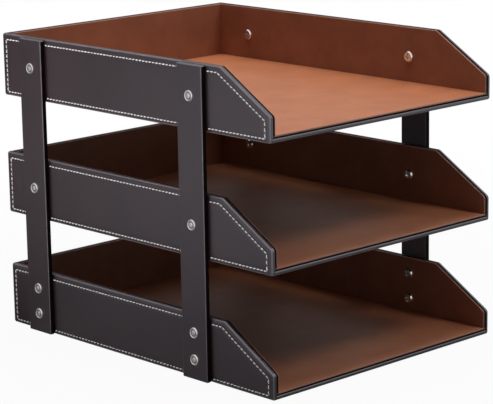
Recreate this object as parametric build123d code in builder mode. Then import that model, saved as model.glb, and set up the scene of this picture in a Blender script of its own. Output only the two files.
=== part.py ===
from build123d import *
from math import atan2, degrees, radians, tan
import os

# Three open-front letter trays, held one above the other by four flat posts.
# Each tray is a box of thin boards inside one folded leather cover, with a lining of four panels.
# Millimetres. +Z is up, the open front faces -Y, and +X is the right-hand side seen from the front.
# The origin is on the ground, under the middle of the trays.

# Sheet thicknesses
board_thickness = 2.5
cover_thickness = 1.0
flap_thickness = 0.5  # of the cover where it is pared thin and turned in over a rim
lining_thickness = 2.0  # of a lining panel where it lies on the flaps
post_core_thickness = 2.5

# Tray
tray_width = 250.0
tray_depth = 321.0
side_height = 52.5
front_height = 20.5  # of a side wall at the open front
slope_run = 53.5  # from the front to where a side wall has its full height
slope_corner_radius = 4.0
rim_flat = 0.1  # left between the two roundings of the leather over an edge
flap_width = 10.0  # from a rim down to the end of the turned-in leather
lining_step = 0.4  # from a rim down to the edge of the lining

# Heights of the undersides of the two raised trays
middle_tray_level = 97.5
upper_tray_level = 198.5

# Posts
post_width = 28.5
post_drop = 1.0  # from the rim of the upper tray down to the top of a post
front_post_setback = 84.0  # from the front of the trays to the middle of the post
rear_post_setback = 42.0  # from the back of the trays to the middle of the post

# Screws, each in a capped sleeve nut
screw_lift = 1.0  # of the single screws above the middle of the side wall
pair_spacing = 21.9  # between the two screws that hold the lower tray to a post
barrel_radius = 2.5
barrel_wall = 0.7
barrel_setback = 1.0  # from the face of the lining to the open end of the barrel
hole_clearance = 0.1  # round the barrel
cap_radius = 4.45
cap_height = 1.1
cap_bevel = 0.6  # of the cap's rim
cap_ring = 1.0  # width of the sloping ring between the rim and the face
cap_dish = 0.25  # depth of the cap's face below its rim
thread_clearance = 0.05  # between the screw and the bore of the barrel
head_radius = 4.7
head_height = 1.7
head_bevel = 0.9  # of the head's rim
cross_length = 5.4
cross_width = 1.1
cross_depth = 1.3
cross_taper = 12.0
cross_turn = 33.0  # degrees that each screw's cross is turned further than the one below

# Values that follow from the sizes above
half_width = tray_width / 2
front = -tray_depth / 2
back = tray_depth / 2
slope_angle = degrees(atan2(side_height - front_height, slope_run))
board_face = cover_thickness + board_thickness  # depth of a board's inner face, from the outside
flap_face = board_face + flap_thickness
wall_thickness = flap_face + lining_thickness
board_corner_radius = 0.4 * board_thickness  # where two outer faces of the box meet
cover_corner_radius = board_corner_radius + cover_thickness
cover_edge_radius = 0.9 * cover_corner_radius  # round the outer face of a side wall
flap_edge_radius = min(1.25 * (cover_thickness + flap_thickness), flap_face - cover_corner_radius - rim_flat)
lining_edge_radius = 0.425 * lining_thickness
post_thickness = post_core_thickness + 2 * cover_thickness
post_edge_radius = cover_thickness
post_height = upper_tray_level + side_height - post_drop
hole_radius = barrel_radius + hole_clearance
bore_radius = barrel_radius - barrel_wall
shank_radius = bore_radius - thread_clearance
clamped_stack = wall_thickness + post_thickness

tray_levels = {"lower": 0.0, "middle": middle_tray_level, "upper": upper_tray_level}
screw_line = side_height / 2 + screw_lift
screw_heights = {
    "lower": [screw_line - pair_spacing / 2, screw_line + pair_spacing / 2],
    "middle": [screw_line],
    "upper": [screw_line],
}
post_places = {"front": front + front_post_setback, "rear": back - rear_post_setback}
sides = {"left": -1, "right": 1}


def side_plane(x, level):
    """Upright plane at x. Its own x runs to the back and its y up from a tray's underside."""
    return Plane(origin=(x, 0, level), x_dir=(0, 1, 0), z_dir=(1, 0, 0))


def wall_outline(inset, bottom, rear, square_radius):
    """Side view of a side wall, drawn in by inset along its front, slope and top."""
    top = side_height - inset
    front_top = front_height - inset * tan(radians(90 - slope_angle) / 2)
    slope_top = front + slope_run + inset * tan(radians(slope_angle) / 2)
    slope_radius = max(slope_corner_radius - inset, flap_thickness)
    with BuildLine() as outline:
        FilletPolyline(
            (front + inset, bottom),
            (front + inset, front_top),
            (slope_top, top),
            (rear, top),
            (rear, bottom),
            radius=[square_radius, slope_radius, slope_radius, square_radius, square_radius],
            close=True,
        )
    return outline.edges()


def screw_spots(tier):
    """Places of a tray's screws, as planes that face along X."""
    return [
        Plane(origin=(0, y, tray_levels[tier] + height), z_dir=(1, 0, 0))
        for y in post_places.values()
        for height in screw_heights[tier]
    ]


def save(piece, name):
    piece.label = name
    export_step(piece, f"parts/{name}.step")


def make_side_board(tier, side):
    outer_x = side * (half_width - cover_thickness)
    outline = wall_outline(cover_thickness, cover_thickness, back - cover_thickness, board_corner_radius)
    with BuildPart() as board:
        with BuildSketch(side_plane(outer_x, tray_levels[tier])):
            make_face(outline)
        extrude(amount=-side * board_thickness)
        with Locations(*screw_spots(tier)):
            Hole(hole_radius)
    return board.part


def make_floor_board(tier):
    with BuildPart() as board:
        with BuildSketch(side_plane(-half_width + board_face, tray_levels[tier])) as profile:
            with Locations((front + cover_thickness, cover_thickness)):
                Rectangle(
                    tray_depth - cover_thickness - board_face,
                    board_thickness,
                    align=(Align.MIN, Align.MIN),
                )
            nose = profile.vertices().group_by(Axis.Y)[0].sort_by(Axis.X)[0]
            fillet(nose, board_corner_radius)
        extrude(amount=tray_width - 2 * board_face)
    return board.part


def make_back_board(tier):
    with BuildPart() as board:
        with BuildSketch(side_plane(-half_width + board_face, tray_levels[tier])) as profile:
            with Locations((back - board_face, cover_thickness)):
                Rectangle(
                    board_thickness,
                    side_height - 2 * cover_thickness,
                    align=(Align.MIN, Align.MIN),
                )
            fillet(profile.vertices().group_by(Axis.X)[-1], board_corner_radius)
        extrude(amount=tray_width - 2 * board_face)
    return board.part


def make_outer_cover(tier, boards):
    """One leather skin round the outside of a tray, turned over every rim and ending in flaps inside."""
    level = tray_levels[tier]
    envelope = wall_outline(0, 0, back, cover_corner_radius)
    bare_boards = wall_outline(flap_width, board_face, back - board_face, 0)
    with BuildPart() as cover:
        with BuildSketch(side_plane(-half_width, level)):
            make_face(envelope)
        extrude(amount=tray_width)
        fillet(cover.faces().filter_by(Axis.X).edges(), cover_edge_radius)

        # The hollow inside, as far as the face of the flaps
        with BuildSketch(Plane.XY.offset(level + flap_face)):
            with Locations((0, back - flap_face)):
                Rectangle(tray_width - 2 * flap_face, tray_depth, align=(Align.CENTER, Align.MAX))
        extrude(amount=side_height, mode=Mode.SUBTRACT)
        inner_edges = cover.edges(Select.NEW)
        floor_edges = inner_edges.group_by(Axis.Z)[0]
        floor_front = floor_edges.sort_by(Axis.Y)[0:1]
        back_corners = inner_edges.filter_by(Axis.Z).group_by(Axis.Y)[-1]
        rim_edges = inner_edges - floor_edges - back_corners + floor_front
        fillet(rim_edges, flap_edge_radius)

        # The boards' own space, and their bare faces between the flaps
        for board in boards:
            add(board, mode=Mode.SUBTRACT)
        with BuildSketch(side_plane(-half_width + board_face, level)):
            make_face(bare_boards)
        extrude(amount=tray_width - 2 * board_face, mode=Mode.SUBTRACT)
        with Locations(*screw_spots(tier)):
            Hole(hole_radius)
    return cover.part


def make_floor_lining(tier):
    """Panel on the floor, with a thin raised back that fills the step behind the front flap."""
    with BuildPart() as lining:
        with BuildSketch(Plane.XY.offset(tray_levels[tier] + flap_face)):
            with Locations((0, back - flap_face)):
                Rectangle(
                    tray_width - 2 * flap_face,
                    tray_depth - flap_face - lining_step,
                    align=(Align.CENTER, Align.MAX),
                )
        extrude(amount=lining_thickness)
        front_edges = lining.faces().sort_by(Axis.Y)[0].edges().filter_by(Axis.X)
        fillet(front_edges, lining_edge_radius)
        with BuildSketch(Plane.XY.offset(tray_levels[tier] + board_face)):
            with Locations((0, back - board_face)):
                Rectangle(
                    tray_width - 2 * board_face,
                    tray_depth - board_face - flap_width,
                    align=(Align.CENTER, Align.MAX),
                )
        extrude(amount=flap_thickness)
    return lining.part


def make_side_lining(tier, side):
    """Panel that stands on the floor lining, with a thin raised back that fills the step inside the flaps."""
    level = tray_levels[tier]
    panel_outline = wall_outline(lining_step, wall_thickness, back - flap_face, 0)
    raised_outline = wall_outline(flap_width, flap_face, back - board_face, 0)
    with BuildPart() as lining:
        with BuildSketch(side_plane(side * (half_width - flap_face), level)):
            make_face(panel_outline)
        extrude(amount=-side * lining_thickness)
        face_edges = lining.faces().filter_by(Axis.X).edges()
        joined_edges = face_edges.group_by(Axis.Z)[0] + face_edges.group_by(Axis.Y)[-1]
        fillet(face_edges - joined_edges, lining_edge_radius)
        with BuildSketch(side_plane(side * (half_width - board_face), level)):
            make_face(raised_outline)
        extrude(amount=-side * flap_thickness)
        with Locations(*screw_spots(tier)):
            Hole(hole_radius)
    return lining.part


def make_back_lining(tier):
    """Panel between the side linings, with a thin raised back that fills the step below the flap."""
    level = tray_levels[tier]
    with BuildPart() as lining:
        with BuildSketch(Plane.XY.offset(level + wall_thickness)):
            with Locations((0, back - flap_face)):
                Rectangle(
                    tray_width - 2 * wall_thickness,
                    lining_thickness,
                    align=(Align.CENTER, Align.MAX),
                )
        extrude(amount=side_height - lining_step - wall_thickness)
        top_edges = lining.faces().sort_by(Axis.Z)[-1].edges().filter_by(Axis.X)
        fillet(top_edges, lining_edge_radius)
        with BuildSketch(Plane.XY.offset(level + flap_face)):
            with Locations((0, back - board_face)):
                Rectangle(
                    tray_width - 2 * flap_face,
                    flap_thickness,
                    align=(Align.CENTER, Align.MAX),
                )
        extrude(amount=side_height - flap_width - flap_face)
    return lining.part


def make_tray(tier):
    boards = {
        "floor_board": make_floor_board(tier),
        "back_board": make_back_board(tier),
        "left_board": make_side_board(tier, sides["left"]),
        "right_board": make_side_board(tier, sides["right"]),
    }
    cover = make_outer_cover(tier, boards.values())
    linings = {
        "floor_lining": make_floor_lining(tier),
        "back_lining": make_back_lining(tier),
        "left_lining": make_side_lining(tier, sides["left"]),
        "right_lining": make_side_lining(tier, sides["right"]),
    }
    for name, piece in {**boards, "outer_cover": cover, **linings}.items():
        save(piece, f"{tier}_{name}")


def post_bar(side, y, inset):
    """Flat bar standing against the trays, drawn in by inset on every side."""
    middle_x = side * (half_width + post_thickness / 2)
    with BuildPart() as bar:
        with BuildSketch(Plane.XY.offset(inset)):
            with Locations((middle_x, y)):
                Rectangle(post_thickness - 2 * inset, post_width - 2 * inset)
        extrude(amount=post_height - 2 * inset)
    return bar.part


def make_post(place, side_name):
    spots = [spot for tier in tray_levels for spot in screw_spots(tier)]
    side = sides[side_name]
    with BuildPart() as core:
        add(post_bar(side, post_places[place], cover_thickness))
        with Locations(*spots):
            Hole(hole_radius)
    with BuildPart() as post_cover:
        add(post_bar(side, post_places[place], 0))
        fillet(post_cover.edges(), post_edge_radius)
        add(post_bar(side, post_places[place], cover_thickness), mode=Mode.SUBTRACT)
        with Locations(*spots):
            Hole(hole_radius)
    save(core.part, f"{place}_{side_name}_post_core")
    save(post_cover.part, f"{place}_{side_name}_post_cover")


def fastener_planes(place, side_name):
    """Planes through the axes of a post's fasteners, x pointing out of the post's face and y up."""
    side = sides[side_name]
    return [
        Plane(
            origin=(side * (half_width + post_thickness), post_places[place], level + height),
            x_dir=(side, 0, 0),
            z_dir=(0, -side, 0),
        )
        for tier, level in tray_levels.items()
        for height in screw_heights[tier]
    ]


def sleeve_nut_profile():
    mouth = -clamped_stack + barrel_setback
    face = cap_height - cap_dish
    rim_radius = cap_radius - cap_bevel
    with BuildLine() as profile:
        Polyline(
            (0, 0),
            (0, bore_radius),
            (mouth, bore_radius),
            (mouth, barrel_radius),
            (0, barrel_radius),
            (0, cap_radius),
            (cap_height - cap_bevel, cap_radius),
            (cap_height, rim_radius),
            (face, rim_radius - cap_ring),
            (face, 0),
            close=True,
        )
    return profile.edges()


def screw_profile():
    seat = -clamped_stack
    head_top = seat - head_height
    with BuildLine() as profile:
        Polyline(
            (-thread_clearance, 0),
            (-thread_clearance, shank_radius),
            (seat, shank_radius),
            (seat, head_radius),
            (head_top + head_bevel, head_radius),
            (head_top, head_radius - head_bevel),
            (head_top, 0),
            close=True,
        )
    return profile.edges()


def make_sleeve_nuts(place, side_name):
    profile = sleeve_nut_profile()
    with BuildPart() as nuts:
        for plane in fastener_planes(place, side_name):
            with BuildSketch(plane):
                make_face(profile)
            revolve(axis=Axis(plane.origin, plane.x_dir))
    save(nuts.part, f"{place}_{side_name}_sleeve_nuts")


def make_screws(place, side_name):
    side = sides[side_name]
    profile = screw_profile()
    head_top = clamped_stack + head_height
    with BuildPart() as screws:
        for index, plane in enumerate(fastener_planes(place, side_name)):
            with BuildSketch(plane):
                make_face(profile)
            revolve(axis=Axis(plane.origin, plane.x_dir))
            recess = plane.origin - plane.x_dir * head_top
            with BuildSketch(Plane(origin=recess, x_dir=(0, 1, 0), z_dir=(side, 0, 0))):
                for arm in (0, 90):
                    Rectangle(cross_length, cross_width, rotation=arm + index * cross_turn)
            extrude(amount=cross_depth, taper=cross_taper, mode=Mode.SUBTRACT)
    save(screws.part, f"{place}_{side_name}_screws")


os.makedirs("parts", exist_ok=True)

for tier in tray_levels:
    make_tray(tier)

for place in post_places:
    for side_name in sides:
        make_post(place, side_name)
        make_sleeve_nuts(place, side_name)
        make_screws(place, side_name)
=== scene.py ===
import math

import bmesh
import bpy
from mathutils import Matrix, Vector


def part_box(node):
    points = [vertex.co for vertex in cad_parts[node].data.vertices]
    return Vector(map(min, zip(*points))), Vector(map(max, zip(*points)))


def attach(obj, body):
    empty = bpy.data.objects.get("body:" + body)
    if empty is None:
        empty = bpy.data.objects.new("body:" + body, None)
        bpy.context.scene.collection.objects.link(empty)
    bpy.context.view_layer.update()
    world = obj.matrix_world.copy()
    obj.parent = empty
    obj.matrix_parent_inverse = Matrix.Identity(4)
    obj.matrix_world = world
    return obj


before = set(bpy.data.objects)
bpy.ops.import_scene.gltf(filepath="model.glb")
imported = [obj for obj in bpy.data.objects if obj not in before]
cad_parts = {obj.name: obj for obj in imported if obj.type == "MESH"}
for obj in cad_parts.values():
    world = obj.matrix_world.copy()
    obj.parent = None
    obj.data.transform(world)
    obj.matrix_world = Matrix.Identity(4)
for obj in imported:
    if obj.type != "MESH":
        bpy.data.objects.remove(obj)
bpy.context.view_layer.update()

# Three leather-covered letter trays between four posts: the finish of their solids, the sewing and other
# thin work on the leather, black strips and films of painted shade in the rim grooves and on the posts'
# narrow sides, and a pale room with soft lamps round them.
# Metres. +Z is up, the open front faces -Y, and +X is the right-hand side seen from the front.
MM = 0.001
TIERS = ("lower", "middle", "upper")
POSTS = ("front_left", "front_right", "rear_left", "rear_right")
cover_boxes = {tier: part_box(f"{tier}_outer_cover") for tier in TIERS}
post_boxes = {post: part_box(f"{post}_post_cover") for post in POSTS}

# Camera: where it stands, what it looks along, and how it is rolled
CAMERA_PLACE = (-1.20436, -1.27543, 0.50969)
CAMERA_FORWARD = (0.669756, 0.708434, -0.222594)
CAMERA_ROLL = -0.016838
CAMERA_LENS = 156.85
SENSOR_WIDTH = 36.0

# Outline of a side wall
FRONT_HEIGHT = 20.5 * MM
SLOPE_RUN = 53.5 * MM  # from the front to where the wall has its full height
CORNER_RADIUS = 2.0 * MM
SLOPE_RADIUS = 4.0 * MM
LEAST_RADIUS = 0.02 * MM  # of a corner that stays sharp
EDGE_ROUNDING = 1.8 * MM  # of the leather round the outer face
ARC_STEPS = 6

# Distance of the stitching from each edge of a panel
STITCH_FRONT = 5.4 * MM
STITCH_SLOPE = 5.8 * MM
STITCH_RIM = 5.0 * MM
STITCH_REAR = 5.8 * MM
STITCH_FOOT = 3.4 * MM

# Stitches
STITCH_PITCH = 3.9 * MM
STITCH_COVER = 0.77  # share of the pitch that one stitch covers, ends included
STITCH_TILT = math.radians(5.0)
STITCH_BEND = 3  # power with which a stitch turns down towards its ends
STITCH_RINGS = 7
STITCH_SIDES = 8
THREAD_RADIUS = 0.52 * MM
THREAD_RISE = 0.42 * MM  # of the thread's axis above the wall, at the middle of a stitch
THREAD_DIP = 0.20 * MM  # of its axis below the wall, where it goes into its holes
THREAD_TAPER = 0.35  # share of its radius that it loses towards its holes
THREAD_FLATNESS = 0.8  # height of its section, as a share of the width

# Relief of the leather over a panel, as (place, height in millimetres): up to the stitching the place is a
# share of the way from the edge, and past it millimetres
RELIEF_TO_STITCH = ((0.0, -0.02), (0.12, 0.08), (0.35, 0.20), (0.6, 0.27), (0.8, 0.18), (1.0, 0.04))
RELIEF_PAST_STITCH = ((0.6, 0.10), (1.3, 0.22), (2.2, 0.31), (3.6, 0.35), (5.5, 0.35))
RELIEF_OVERLAP = 0.1 * MM  # over the rounding of the leather's edge
WELD_DISTANCE = 0.001 * MM  # between points that become one

# Black strip of painted shade in the groove between the leather and the lining, from the leather across to
# the lining,
# in millimetres: (depth into the wall, depth below the edge) along the side and back walls, and (height,
# depth behind the front edge) along the floor
WALL_SEAM = (
    (3.00, 0.18),
    (3.20, 0.29),
    (3.40, 0.45),
    (3.70, 0.80),
    (4.00, 1.30),
    (4.10, 0.80),
    (4.35, 0.52),
    (4.60, 0.41),
    (4.90, 0.375),
)
FLOOR_SEAM = (
    (3.40, 0.46),
    (3.55, 0.60),
    (3.70, 0.79),
    (3.85, 1.06),
    (4.00, 1.30),
    (4.10, 0.80),
    (4.30, 0.57),
    (4.50, 0.45),
    (4.75, 0.385),
)

# Black film of painted shade on the narrow sides of a post, as (distance from the wall, height above the
# side's flat) in millimetres
POST_SHADE_PROFILE = (
    (3.95, -0.085),
    (3.75, -0.01),
    (3.50, 0.02),
    (1.00, 0.02),
    (0.75, -0.01),
    (0.50, -0.11),
    (0.20, -0.37),
)
POST_SHADE_MARGIN = 1.0 * MM  # from the ends of the post

# Caps of the sleeve nuts: where they are on a post, and their faces as (radius, height) in millimetres
SCREW_LIFT = 1.0 * MM  # of the single screws above the middle of the side wall
PAIR_SPACING = 21.9 * MM  # between the two screws that hold the lower tray to a post
CAP_GROOVE = ((2.90, 0.89), (2.75, 0.87), (2.15, 0.87), (2.05, 0.92))
CAP_DOME = ((2.05, 0.92), (1.95, 1.02), (1.65, 1.09), (1.2, 1.14), (0.6, 1.17))
CAP_TOP = 1.18 * MM  # height of the middle of the dome
CAP_SIDES = 40

# Fades, each as (from, to, level before, level after)
WEAR_FADE = (0.3, 0.7, 0.7, 1.0)  # of the rubbed edges and their painted highlight, by their noise
# The facing fade keeps the painted highlight on outer roundings and off those that face into a tray
FACING_FADE = (-0.25, 0.0, 0.0, 1.0)  # of the same, by how far a wall faces out of the tray
SURROUND_TO_GLOSS = (0.62, 0.86, 1.0, 0.05)  # of the surround in reflections, by its direction along Y
FLOOR_TO_CAMERA = (0.25, 0.90, 0.95, 1.0)  # of the floor's white, by the distance from the middle
FLOOR_TO_GLOSS = (0.20, 1.08, 0.19, 1.0)  # of the floor in reflections, by the same distance
FLOOR_REAR_TO_GLOSS = (0.60, 1.45, 1.0, 0.10)  # of the same, by the place along Y
FLOOR_BEHIND_TO_GLOSS = (0.75, 1.35, 1.0, 0.28)  # of the same, by Y as a share of the distance sideways

# Leather and lining. The edge_turn is how squarely the surface faces one way where the rubbing of an edge,
# with its painted highlight, starts, and where it is full.
LEATHER_COLOURS = ((0.018, 0.0082, 0.0095), (0.025, 0.0118, 0.0135))
FLOOR_LINING_COLOURS = ((0.395, 0.134, 0.059), (0.475, 0.166, 0.075))
# The walls take a darker copy of the floor's lining: painted shade, where less light falls on them than on
# the floors
SHADED_WALL_LINING_COLOURS = ((0.235, 0.078, 0.038), (0.315, 0.110, 0.055))
LEATHER_LOOK = {
    # lighter colour of rubbed edges: partly wear, partly a painted highlight
    "worn_highlight_colour": (0.215, 0.185, 0.200),
    "edge_turn": (0.97, 0.82),
    "shine_colour": (0.86, 0.89, 1.0),
    "specular_level": 1.0,
    "roughness": 0.34,
    "grain_size": 0.9 * MM,
    "grain_depth": 0.025 * MM,
    "mottle_size": 60 * MM,
}
LINING_LOOK = {
    # lighter colour of rubbed edges: partly wear, partly a painted highlight
    "worn_highlight_colour": (0.32, 0.150, 0.110),
    "edge_turn": (0.99, 0.88),
    "shine_colour": (1.0, 0.95, 0.92),
    "specular_level": 0.5,
    "roughness": 0.55,
    "grain_size": 0.6 * MM,
    "grain_depth": 0.015 * MM,
    "mottle_size": 30 * MM,
}
LEATHER_IOR = 1.54
MOTTLE_PLACES = (0.35, 0.68)
WEAR_SIZE = 12 * MM
BACK_WALL_START = 140 * MM  # along Y, from where a surface counts as the back wall's
BACK_WALL_DEPTH = 20 * MM  # from there to the outside of the wall
EDGE_POLISH = 0.08  # taken from the roughness where an edge is rubbed
CREASE_WIDTH = 0.22  # as a share of a grain
WARP_DENSITY = 0.35  # bends of the creases to a grain
PORE_DENSITY = 2.5  # pores to a grain
PORE_DEPTH = 0.6  # as a share of the grain's depth
PORE_GLOSS = 0.06  # change of roughness either way

# Metals
NUT_COLOUR = (0.90, 0.87, 0.86)
NUT_ROUGHNESS = 0.45
# Darker metal in the caps' grooves: painted shade in the hollow
GROOVE_SHADE_COLOUR = (0.30, 0.29, 0.29)
SCREW_COLOUR = (0.78, 0.76, 0.74)
SCREW_ROUGHNESS = 0.16
BRUSH_SIZE = 0.5 * MM
BRUSH_SHADE = 0.82  # of the colour, in the marks of the brush
BRUSH_PLACES = (0.3, 0.7)
BRUSH_GLOSS = (-0.06, 0.08)  # change of roughness

# Thread, painted shade and fibreboard, with densities to the metre
THREAD_COLOURS = ((0.86, 0.85, 0.84), (0.97, 0.965, 0.96))
SOIL_DENSITY = 120.0
SOIL_PLACES = (0.35, 0.65)
TWIST_DENSITY = 900.0
TWIST_DEPTH = 0.1 * MM
# Painted shade: near-black for the rim grooves and the narrow sides of the posts
PAINTED_SHADE_COLOURS = ((0.006, 0.004, 0.004), (0.016, 0.009, 0.009))
SHADE_NOISE_DENSITY = 400.0
SHADE_NOISE_PLACES = (0.35, 0.65)
SHADE_BUMP_DEPTH = 0.05 * MM
BOARD_COLOURS = ((0.32, 0.21, 0.12), (0.48, 0.34, 0.20))
FIBRE_DENSITY = 700.0
FIBRE_PLACES = (0.3, 0.7)

# Room
ROOM_LEVEL = 0.03  # of the even light that comes from all round
FLOOR_SIZE = 40.0
FLOOR_DROP = 0.2 * MM  # below the feet
FLOOR_COLOUR = (0.55, 0.55, 0.55)
LEAST_SIDEWAYS = 0.05  # distance that the one along Y is divided by

# Lamps, as (name, place, what it points at, width and height, watts, whether reflections show it)
LAMPS = (
    ("top", (0.0, 0.05, 1.6), (0.0, 0.0, 0.15), (0.8, 0.8), 11.5, False),
    ("top_shine", (0.0, 0.05, 1.6), (0.0, 0.0, 0.15), (0.8, 0.8), 5.0, True),
    ("front", (0.55, -0.9, 1.5), (0.0, 0.0, 0.15), (0.7, 0.5), 7.0, True),
    ("left_strip", (-1.35, 0.75, 0.027), (0.0, 0.1, 0.05), (0.9, 0.05), 8.0, False),
    ("left_panel", (-0.85, 0.45, 0.003), (-0.85, 0.45, 1.0), (0.9, 1.2), 13.0, False),
)


def new_material(name):
    """A material with its node tree and its main shader."""
    material = bpy.data.materials.new(name)
    material.use_nodes = True
    return material, material.node_tree, material.node_tree.nodes["Principled BSDF"]


def set_inputs(tree, node, inputs):
    """Gives inputs of a node, by name or number, each a value or another node's output."""
    for key, value in inputs.items():
        if isinstance(value, bpy.types.NodeSocket):
            tree.links.new(value, node.inputs[key])
        else:
            node.inputs[key].default_value = value


def add_node(tree, kind, inputs, **properties):
    """Adds a node with its properties and inputs, and returns its outputs."""
    node = tree.nodes.new(kind)
    for name, value in properties.items():
        setattr(node, name, value)
    set_inputs(tree, node, inputs)
    return node.outputs


def calculated(tree, operation, *values):
    """Result of a calculation with values or other nodes' outputs."""
    return add_node(tree, "ShaderNodeMath", dict(enumerate(values)), operation=operation)["Value"]


def parts_of(tree, vector):
    """X, Y and Z of a vector."""
    return add_node(tree, "ShaderNodeSeparateXYZ", {"Vector": vector})


def object_place(tree):
    """Place on the object, in metres."""
    return add_node(tree, "ShaderNodeTexCoord", {})["Object"]


def surface_normal(tree):
    return add_node(tree, "ShaderNodeNewGeometry", {})["Normal"]


def noise(tree, place, density, detail, roughness=0.5):
    """Noise with about as many patches to the metre as its density says."""
    inputs = {"Vector": place, "Scale": density, "Detail": detail, "Roughness": roughness}
    return add_node(tree, "ShaderNodeTexNoise", inputs)


def two_tone(tree, source, places, colours):
    """Colour that goes from one tone to another as a value goes from one place to the other."""
    node = tree.nodes.new("ShaderNodeValToRGB")
    set_inputs(tree, node, {"Fac": source})
    for element, place, colour in zip(node.color_ramp.elements, places, colours):
        element.position = place
        element.color = (*colour, 1.0)
    return node.outputs["Color"]


def spread(tree, source, low, high):
    """A value from 0 to 1 brought between low and high."""
    return add_node(tree, "ShaderNodeMapRange", {"Value": source, "To Min": low, "To Max": high})["Result"]


def fading(tree, source, fade):
    """A level that changes smoothly with a value, by a fade as (from, to, level before, level after)."""
    near, far, before, after = fade
    inputs = {"Value": source, "From Min": near, "From Max": far, "To Min": before, "To Max": after}
    return add_node(tree, "ShaderNodeMapRange", inputs, interpolation_type="SMOOTHSTEP")["Result"]


def bump(tree, height, strength, depth):
    inputs = {"Height": height, "Strength": strength, "Distance": depth}
    return add_node(tree, "ShaderNodeBump", inputs)["Normal"]


def slope_normal():
    """The way that the sloped front of a side wall faces."""
    low, high = cover_boxes["upper"]
    slope_rise = high.z - low.z - FRONT_HEIGHT
    return Vector((0, -slope_rise, SLOPE_RUN)).normalized()


def turned_away(tree, flat_axis, edge_turn):
    """How far the surface turns away from one axis, or from every axis and the slope of the side walls."""
    normal = surface_normal(tree)
    size = add_node(tree, "ShaderNodeVectorMath", {0: normal}, operation="ABSOLUTE")["Vector"]
    parts = parts_of(tree, size)
    if flat_axis:
        along = parts[flat_axis]
    else:
        inputs = {0: normal, 1: slope_normal()}
        along_slope = add_node(tree, "ShaderNodeVectorMath", inputs, operation="DOT_PRODUCT")["Value"]
        along = calculated(tree, "MAXIMUM", parts["X"], parts["Y"])
        along = calculated(tree, "MAXIMUM", along, parts["Z"])
        along = calculated(tree, "MAXIMUM", along, along_slope)
    flat, turned = edge_turn
    return fading(tree, along, (flat, turned, 0.0, 1.0))


def faces_out(tree, place):
    """1 where a side or back wall faces out of the tray, falling to 0 where it faces into it."""
    normal = parts_of(tree, surface_normal(tree))
    spot = parts_of(tree, place)
    half_width = cover_boxes["upper"][1].x
    sideways = calculated(tree, "MULTIPLY", normal["X"], spot["X"])
    sideways = calculated(tree, "DIVIDE", sideways, half_width)
    behind = calculated(tree, "SUBTRACT", spot["Y"], BACK_WALL_START)
    behind = calculated(tree, "MAXIMUM", behind, 0.0)
    behind = calculated(tree, "MULTIPLY", behind, normal["Y"])
    behind = calculated(tree, "DIVIDE", behind, BACK_WALL_DEPTH)
    return fading(tree, calculated(tree, "MINIMUM", sideways, behind), FACING_FADE)


def edge_wear_and_highlight(tree, place, flat_axis, edge_turn):
    """How much an edge is rubbed and lightened as a painted highlight, in patches: of a flat lining, or of
    the outside of the leather.
    """
    worn_highlight = fading(tree, noise(tree, place, 1 / WEAR_SIZE, detail=3.0)["Fac"], WEAR_FADE)
    worn_highlight = calculated(tree, "MULTIPLY", worn_highlight, turned_away(tree, flat_axis, edge_turn))
    if not flat_axis:
        worn_highlight = calculated(tree, "MULTIPLY", worn_highlight, faces_out(tree, place))
    return worn_highlight


def creased_grain(tree, place, size):
    """Height of the pebbles between a leather's creases, from 0 to 1."""
    warp = noise(tree, place, WARP_DENSITY / size, detail=2.0)["Color"]
    inputs = {0: warp, 1: (size, size, size), 2: place}
    warped = add_node(tree, "ShaderNodeVectorMath", inputs, operation="MULTIPLY_ADD")["Vector"]
    inputs = {"Vector": warped, "Scale": 1 / size}
    to_crease = add_node(tree, "ShaderNodeTexVoronoi", inputs, feature="DISTANCE_TO_EDGE")["Distance"]
    return fading(tree, to_crease, (0.0, CREASE_WIDTH, 0.0, 1.0))


def leather_material(name, colours, look, flat_axis=None):
    """Leather with creased grain, slow mottling, rubbed edges lightened partly as wear and partly as a
    painted highlight, and gloss that varies with the grain.
    """
    material, tree, shader = new_material(name)
    place = object_place(tree)
    roughness = look["roughness"]

    mottle = noise(tree, place, 1 / look["mottle_size"], detail=4.0, roughness=0.6)["Fac"]
    colour = two_tone(tree, mottle, MOTTLE_PLACES, colours)
    # Edges are lightened partly as wear and partly as a painted highlight
    worn_highlight = edge_wear_and_highlight(tree, place, flat_axis, look["edge_turn"])
    inputs = {"Factor": worn_highlight, "A": colour, "B": (*look["worn_highlight_colour"], 1.0)}
    highlit_rubbed = add_node(tree, "ShaderNodeMix", inputs, data_type="RGBA")["Result"]

    pebbles = creased_grain(tree, place, look["grain_size"])
    pores = noise(tree, place, PORE_DENSITY / look["grain_size"], detail=3.0, roughness=0.7)["Fac"]
    height = calculated(tree, "MULTIPLY_ADD", pores, PORE_DEPTH, pebbles)
    matt = spread(tree, pores, roughness - PORE_GLOSS, roughness + PORE_GLOSS)
    polish = calculated(tree, "MULTIPLY", worn_highlight, EDGE_POLISH)

    set_inputs(tree, shader, {
        "Base Color": highlit_rubbed,
        "Roughness": calculated(tree, "SUBTRACT", matt, polish),
        "Normal": bump(tree, height, 1.0, look["grain_depth"]),
        "IOR": LEATHER_IOR,
        "Specular IOR Level": look["specular_level"],
        "Specular Tint": (*look["shine_colour"], 1.0),
    })
    return material


def metal_material(name, colour, roughness):
    """Plated metal with fine brushing and small changes in gloss."""
    material, tree, shader = new_material(name)
    brush = noise(tree, object_place(tree), 1 / BRUSH_SIZE, detail=3.0)["Fac"]
    marks = tuple(BRUSH_SHADE * part for part in colour)
    glossier, duller = BRUSH_GLOSS
    set_inputs(tree, shader, {
        "Base Color": two_tone(tree, brush, BRUSH_PLACES, (marks, colour)),
        "Metallic": 1.0,
        "Roughness": spread(tree, brush, roughness + glossier, roughness + duller),
    })
    return material


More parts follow.
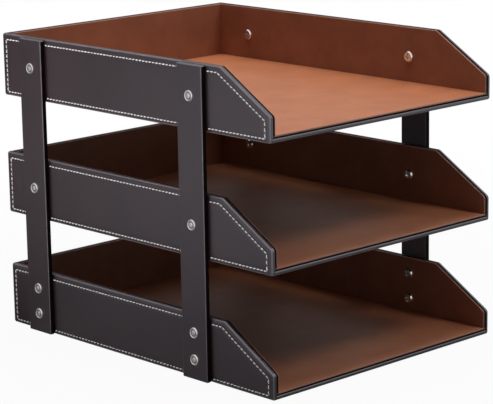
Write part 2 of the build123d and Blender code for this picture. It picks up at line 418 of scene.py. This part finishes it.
def thread_material():
    """Sewing thread: two twisted plies and slight soiling."""
    material, tree, shader = new_material("stitching_thread")
    place = object_place(tree)
    soil = noise(tree, place, SOIL_DENSITY, detail=2.0)["Fac"]
    inputs = {"Vector": place, "Scale": TWIST_DENSITY, "Distortion": 1.0}
    twist = add_node(tree, "ShaderNodeTexWave", inputs, bands_direction="DIAGONAL")["Fac"]
    set_inputs(tree, shader, {
        "Base Color": two_tone(tree, soil, SOIL_PLACES, THREAD_COLOURS),
        "Roughness": 0.7,
        "Normal": bump(tree, twist, 0.6, TWIST_DEPTH),
    })
    return material


def painted_shade_material():
    """Matt black painted shade, uneven in its colour and bump."""
    material, tree, shader = new_material("painted_shade")
    shade_noise = noise(tree, object_place(tree), SHADE_NOISE_DENSITY, detail=3.0)["Fac"]
    set_inputs(tree, shader, {
        "Base Color": two_tone(tree, shade_noise, SHADE_NOISE_PLACES, PAINTED_SHADE_COLOURS),
        "Roughness": 0.9,
        "Specular IOR Level": 0.05,
        "Normal": bump(tree, shade_noise, 0.5, SHADE_BUMP_DEPTH),
    })
    return material


def board_material():
    """Raw fibreboard, seen only if the leather is taken off."""
    material, tree, shader = new_material("fibreboard")
    fibre = noise(tree, object_place(tree), FIBRE_DENSITY, detail=5.0, roughness=0.7)["Fac"]
    set_inputs(tree, shader, {
        "Base Color": two_tone(tree, fibre, FIBRE_PLACES, BOARD_COLOURS),
        "Roughness": 0.85,
    })
    return material


outer_leather = leather_material("outer_leather", LEATHER_COLOURS, LEATHER_LOOK)
floor_lining = leather_material("floor_lining", FLOOR_LINING_COLOURS, LINING_LOOK, "Z")
# Side and back linings use the darker copy of the lining colours, as painted shade
side_lining = leather_material("side_lining", SHADED_WALL_LINING_COLOURS, LINING_LOOK, "X")
back_lining = leather_material("back_lining", SHADED_WALL_LINING_COLOURS, LINING_LOOK, "Y")
# Near-black painted shade for the rim grooves and the posts' narrow sides
painted_shade = painted_shade_material()
nut_metal = metal_material("nut_metal", NUT_COLOUR, NUT_ROUGHNESS)
shaded_groove_metal = metal_material("shaded_groove_metal", GROOVE_SHADE_COLOUR, NUT_ROUGHNESS)
screw_metal = metal_material("screw_metal", SCREW_COLOUR, SCREW_ROUGHNESS)
fibreboard = board_material()
stitching_thread = thread_material()

# Finish of each solid, by how its name ends. The first ending that fits counts, and the last fits all.
FINISHES = {
    "cover": outer_leather,
    "floor_lining": floor_lining,
    "back_lining": back_lining,
    "lining": side_lining,
    "sleeve_nuts": nut_metal,
    "screws": screw_metal,
    "": fibreboard,
}


def finish_solids():
    for name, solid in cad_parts.items():
        finish = next(material for ending, material in FINISHES.items() if name.endswith(ending))
        for slot in solid.material_slots:
            slot.material = finish


def add_piece(mesh, name, material):
    """Turns a mesh under construction into a smooth piece that rides on the part."""
    data = bpy.data.meshes.new(name)
    mesh.to_mesh(data)
    mesh.free()
    for face in data.polygons:
        face.use_smooth = True
    data.materials.append(material)
    piece = bpy.data.objects.new(name, data)
    bpy.context.scene.collection.objects.link(piece)
    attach(piece, "root")


def bridge(mesh, loops):
    """Faces from each closed loop of points to the next."""
    for outer, inner in zip(loops, loops[1:]):
        for index in range(len(outer)):
            other = (index + 1) % len(outer)
            mesh.faces.new((outer[index], outer[other], inner[other], inner[index]))


def wall_polygon(tier):
    """Corners of a side wall's outline from its front foot round to its rear foot, as (along, up)."""
    low, high = cover_boxes[tier]
    height = high.z - low.z
    return [
        Vector((low.y, 0)),
        Vector((low.y, FRONT_HEIGHT)),
        Vector((low.y + SLOPE_RUN, height)),
        Vector((high.y, height)),
        Vector((high.y, 0)),
    ]


def drawn_in(polygon, distances):
    """The clockwise polygon with each edge moved inwards by its own distance."""
    lines = []
    for index, start in enumerate(polygon):
        along = (polygon[(index + 1) % len(polygon)] - start).normalized()
        inward = Vector((along.y, -along.x))
        lines.append((start + inward * distances[index], along))
    corners = []
    for index, (point, along) in enumerate(lines):
        before, before_along = lines[index - 1]
        cross = before_along.x * along.y - before_along.y * along.x
        gap = point - before
        reach = (gap.x * along.y - gap.y * along.x) / cross
        corners.append(before + before_along * reach)
    return corners


def rounded(corners, radii):
    """Points round a polygon whose corners are rounded, as many at each corner."""
    points = []
    for index, corner in enumerate(corners):
        back = (corners[index - 1] - corner).normalized()
        ahead = (corners[(index + 1) % len(corners)] - corner).normalized()
        half = back.angle(ahead) / 2
        bisector = (back + ahead).normalized()
        centre = corner + bisector * (radii[index] / math.sin(half))
        sweep = math.pi / 2 - half
        for step in range(ARC_STEPS + 1):
            turn = sweep * (1 - 2 * step / ARC_STEPS)
            side = back if turn > 0 else ahead
            across = (side - bisector * side.dot(bisector)).normalized()
            points.append(
                centre
                - bisector * (radii[index] * math.cos(turn))
                + across * (radii[index] * math.sin(abs(turn)))
            )
    return points


def add_relief(mesh, polygon, radii, stitch_distances, to_world):
    """Leather over a panel, drawn down along its stitching."""
    rings = []
    start = EDGE_ROUNDING - RELIEF_OVERLAP
    for share, height in RELIEF_TO_STITCH:
        distances = [start + (stitching - start) * share for stitching in stitch_distances]
        rings.append((distances, height * MM))
    for past, height in RELIEF_PAST_STITCH:
        distances = [stitching + past * MM for stitching in stitch_distances]
        rings.append((distances, height * MM))
    loops = []
    for distances, height in rings:
        corner_radii = [
            max(radius - max(distances[index - 1], distances[index]), LEAST_RADIUS)
            for index, radius in enumerate(radii)
        ]
        points = rounded(drawn_in(polygon, distances), corner_radii)
        loops.append([mesh.verts.new(to_world(point, height)) for point in points])
    bridge(mesh, loops)
    mesh.faces.new(loops[-1])
    bmesh.ops.remove_doubles(mesh, verts=mesh.verts, dist=WELD_DISTANCE)


def stitch_rows(corners):
    """Middle, direction and pitch of every stitch round a closed outline, in its own plane."""
    rows = []
    for index, start in enumerate(corners):
        run = corners[(index + 1) % len(corners)] - start
        count = max(1, round(run.length / STITCH_PITCH))
        for step in range(count):
            rows.append((start + run * ((step + 0.5) / count), run.normalized(), run.length / count))
    return rows


def add_stitch(mesh, middle, along, outward, pitch):
    """One stitch: a short thread that rises out of one needle hole and goes down into the next."""
    along = (Matrix.Rotation(STITCH_TILT, 3, outward) @ along).normalized()
    across = outward.cross(along).normalized()
    loops = []
    for ring in range(STITCH_RINGS):
        place = 2 * ring / (STITCH_RINGS - 1) - 1
        drop = abs(place) ** STITCH_BEND
        axis = middle + along * (place * pitch * STITCH_COVER / 2)
        axis += outward * (THREAD_RISE - (THREAD_RISE + THREAD_DIP) * drop)
        width = THREAD_RADIUS * (1 - THREAD_TAPER * drop)
        height = THREAD_FLATNESS * width
        loop = []
        for side in range(STITCH_SIDES):
            angle = 2 * math.pi * side / STITCH_SIDES
            offset = across * (width * math.cos(angle)) + outward * (height * math.sin(angle))
            loop.append(mesh.verts.new(axis + offset))
        loops.append(loop)
    bridge(mesh, loops)
    mesh.faces.new(list(reversed(loops[0])))
    mesh.faces.new(loops[-1])


def under_post(y, side):
    """Whether a post covers the side wall at this place along it."""
    return any(low.y < y < high.y for post, (low, high) in post_boxes.items() if post.endswith(side))


def dress_panel(name, polygon, radii, distances, to_world, outward, covered):
    """Relief of the leather over one panel, and its stitching except where that is covered."""
    relief = bmesh.new()
    add_relief(relief, polygon, radii, distances, to_world)
    add_piece(relief, f"{name}_panel", outer_leather)
    thread = bmesh.new()
    for middle, along, pitch in stitch_rows(drawn_in(polygon, distances)):
        if covered(middle):
            continue
        place = to_world(middle, 0)
        add_stitch(thread, place, to_world(middle + along, 0) - place, outward, pitch)
    bmesh.ops.recalc_face_normals(thread, faces=thread.faces)
    add_piece(thread, f"{name}_stitching", stitching_thread)


def dress_side(tier, side):
    low, high = cover_boxes[tier]
    x, sign = (low.x, -1) if side == "left" else (high.x, 1)
    dress_panel(
        f"{tier}_{side}",
        wall_polygon(tier),
        [CORNER_RADIUS, SLOPE_RADIUS, SLOPE_RADIUS, CORNER_RADIUS, CORNER_RADIUS],
        [STITCH_FRONT, STITCH_SLOPE, STITCH_RIM, STITCH_REAR, STITCH_FOOT],
        lambda point, height: Vector((x + sign * height, point.x, low.z + point.y)),
        Vector((sign, 0, 0)),
        lambda point: under_post(point.x, side),
    )


def dress_back(tier):
    low, high = cover_boxes[tier]
    height = high.z - low.z
    dress_panel(
        f"{tier}_back",
        [Vector((low.x, 0)), Vector((low.x, height)), Vector((high.x, height)), Vector((high.x, 0))],
        [CORNER_RADIUS] * 4,
        [STITCH_REAR, STITCH_RIM, STITCH_REAR, STITCH_FOOT],
        lambda point, height: Vector((point.x, high.y + height, low.z + point.y)),
        Vector((0, 1, 0)),
        lambda point: False,
    )


def add_seam_shade(tier):
    """Black strip of painted shade in the groove round the open edge of a tray, as one closed loop."""
    low, high = cover_boxes[tier]
    polygon = wall_polygon(tier)
    corner_points = ARC_STEPS + 1
    mesh = bmesh.new()
    loops = []
    for wall, floor in zip(WALL_SEAM, FLOOR_SEAM):
        wall_in, wall_depth = wall[0] * MM, wall[1] * MM
        floor_up, floor_depth = floor[0] * MM, floor[1] * MM
        corners = drawn_in(polygon, [wall_depth, wall_depth, wall_depth, wall_in, wall_in])
        slope_radius = SLOPE_RADIUS - wall_depth
        points = rounded(corners, [LEAST_RADIUS, slope_radius, slope_radius, LEAST_RADIUS, LEAST_RADIUS])
        # Floor's end, front foot of the wall, both bends of its slope, and the rear end of its rim
        outline = [
            Vector((low.y + floor_depth, floor_up)),
            corners[0],
            *points[corner_points : 3 * corner_points],
            corners[3],
        ]
        left = [Vector((low.x + wall_in, point.x, low.z + point.y)) for point in outline]
        right = [Vector((high.x - wall_in, point.x, low.z + point.y)) for point in reversed(outline)]
        loops.append([mesh.verts.new(point) for point in left + right])
    bridge(mesh, loops)
    add_piece(mesh, f"{tier}_rim_painted_shade", painted_shade)


def add_post_shade(post):
    """Black films of painted shade on the narrow front and rear sides of a post."""
    low, high = post_boxes[post]
    wall, sign = (high.x, -1) if post.endswith("left") else (low.x, 1)
    mesh = bmesh.new()
    for flat, facing in ((low.y, -1), (high.y, 1)):
        profile = [(wall + sign * out * MM, flat + facing * rise * MM) for out, rise in POST_SHADE_PROFILE]
        foot = [mesh.verts.new((x, y, low.z + POST_SHADE_MARGIN)) for x, y in profile]
        head = [mesh.verts.new((x, y, high.z - POST_SHADE_MARGIN)) for x, y in profile]
        for index in range(len(POST_SHADE_PROFILE) - 1):
            mesh.faces.new((foot[index], foot[index + 1], head[index + 1], head[index]))
    bmesh.ops.recalc_face_normals(mesh, faces=mesh.faces)
    add_piece(mesh, f"{post}_side_painted_shade", painted_shade)


def cap_heights():
    """Heights of the caps on a post: two on the lower tray and one on each of the others."""
    lower, middle, upper = [(low.z + high.z) / 2 + SCREW_LIFT for low, high in cover_boxes.values()]
    return [lower - PAIR_SPACING / 2, lower + PAIR_SPACING / 2, middle, upper]


def add_cap_rings(post, profile, top, name, material):
    """Rings of revolution on the four caps of a post, closed at the middle where a top is given."""
    low, high = post_boxes[post]
    face, sign = (low.x, -1) if post.endswith("left") else (high.x, 1)
    middle = (low.y + high.y) / 2
    turns = [2 * math.pi * side / CAP_SIDES for side in range(CAP_SIDES)]
    mesh = bmesh.new()
    for height in cap_heights():
        loops = []
        for radius, rise in profile:
            x = face + sign * rise * MM
            spots = [(math.cos(turn) * radius * MM, math.sin(turn) * radius * MM) for turn in turns]
            loops.append([mesh.verts.new((x, middle + along, height + up)) for along, up in spots])
        bridge(mesh, loops)
        if top:
            point = mesh.verts.new((face + sign * top, middle, height))
            for side in range(CAP_SIDES):
                mesh.faces.new((loops[-1][side], loops[-1][(side + 1) % CAP_SIDES], point))
    bmesh.ops.recalc_face_normals(mesh, faces=mesh.faces)
    add_piece(mesh, f"{post}_{name}", material)


def seen_by_rays(tree, to_camera, to_gloss):
    """The level for camera rays, another for glossy and transmission rays, and none for the rest."""
    path = add_node(tree, "ShaderNodeLightPath", {})
    gloss = calculated(tree, "MAXIMUM", path["Is Glossy Ray"], path["Is Transmission Ray"])
    gloss = calculated(tree, "MULTIPLY", gloss, to_gloss)
    camera = calculated(tree, "MULTIPLY", path["Is Camera Ray"], to_camera)
    return calculated(tree, "MAXIMUM", camera, gloss)


def make_world():
    """White surround for the camera and for reflections, which fades towards the rear."""
    world = bpy.data.worlds.new("studio")
    bpy.context.scene.world = world
    world.use_nodes = True
    tree = world.node_tree
    direction = add_node(tree, "ShaderNodeTexCoord", {})["Generated"]
    to_gloss = fading(tree, parts_of(tree, direction)["Y"], SURROUND_TO_GLOSS)
    level = calculated(tree, "MAXIMUM", seen_by_rays(tree, 1.0, to_gloss), ROOM_LEVEL)
    set_inputs(tree, tree.nodes["Background"], {"Color": (1, 1, 1, 1), "Strength": level})


def make_floor():
    """Pale floor that shows white all round the object and keeps a faint shadow."""
    bpy.ops.mesh.primitive_plane_add(size=FLOOR_SIZE, location=(0, 0, -FLOOR_DROP))
    floor = bpy.context.object
    floor.name = "floor"
    material, tree, shader = new_material("floor")
    set_inputs(tree, shader, {
        "Base Color": (*FLOOR_COLOUR, 1.0),
        "Roughness": 0.9,
        "Specular IOR Level": 0.0,
    })

    place = object_place(tree)
    parts = parts_of(tree, place)
    distance = add_node(tree, "ShaderNodeVectorMath", {0: place}, operation="LENGTH")["Value"]
    sideways = calculated(tree, "MAXIMUM", calculated(tree, "ABSOLUTE", parts["X"]), LEAST_SIDEWAYS)
    behind = calculated(tree, "DIVIDE", parts["Y"], sideways)
    to_camera = fading(tree, distance, FLOOR_TO_CAMERA)
    to_gloss = fading(tree, distance, FLOOR_TO_GLOSS)
    to_gloss = calculated(tree, "MULTIPLY", to_gloss, fading(tree, parts["Y"], FLOOR_REAR_TO_GLOSS))
    to_gloss = calculated(tree, "MULTIPLY", to_gloss, fading(tree, behind, FLOOR_BEHIND_TO_GLOSS))

    glow = add_node(tree, "ShaderNodeEmission", {"Strength": seen_by_rays(tree, 1.0, to_gloss)})
    share = seen_by_rays(tree, to_camera, 1.0)
    inputs = {"Fac": share, 1: shader.outputs["BSDF"], 2: glow["Emission"]}
    mix = add_node(tree, "ShaderNodeMixShader", inputs)
    set_inputs(tree, tree.nodes["Material Output"], {"Surface": mix["Shader"]})
    floor.data.materials.append(material)


def make_lamp(name, place, aim, size, watts, in_gloss):
    data = bpy.data.lights.new(name, "AREA")
    data.shape = "RECTANGLE"
    data.size, data.size_y = size
    data.energy = watts
    lamp = bpy.data.objects.new(name, data)
    lamp.location = place
    lamp.rotation_euler = (Vector(aim) - Vector(place)).to_track_quat("-Z", "Y").to_euler()
    lamp.visible_camera = False
    lamp.visible_glossy = in_gloss
    bpy.context.scene.collection.objects.link(lamp)


def make_camera():
    data = bpy.data.cameras.new("camera")
    data.lens = CAMERA_LENS
    data.sensor_fit = "HORIZONTAL"
    data.sensor_width = SENSOR_WIDTH
    camera = bpy.data.objects.new("camera", data)
    camera.location = CAMERA_PLACE
    turn = Vector(CAMERA_FORWARD).to_track_quat("-Z", "Y").to_matrix()
    camera.rotation_euler = (turn @ Matrix.Rotation(CAMERA_ROLL, 3, "Z")).to_euler()
    bpy.context.scene.collection.objects.link(camera)
    bpy.context.scene.camera = camera


finish_solids()
for post in POSTS:
    # Black films of painted shade on the posts' narrow sides
    add_post_shade(post)
    # Cap grooves in darker metal, as painted shade
    add_cap_rings(post, CAP_GROOVE, None, "cap_grooves", shaded_groove_metal)
    add_cap_rings(post, CAP_DOME, CAP_TOP, "cap_domes", nut_metal)
for tier in TIERS:
    # Black strips of painted shade in the rim grooves
    add_seam_shade(tier)
    dress_side(tier, "left")
    dress_side(tier, "right")
    dress_back(tier)
make_world()
make_floor()
for lamp in LAMPS:
    make_lamp(*lamp)
make_camera()
bpy.context.scene.view_settings.view_transform = "Standard"
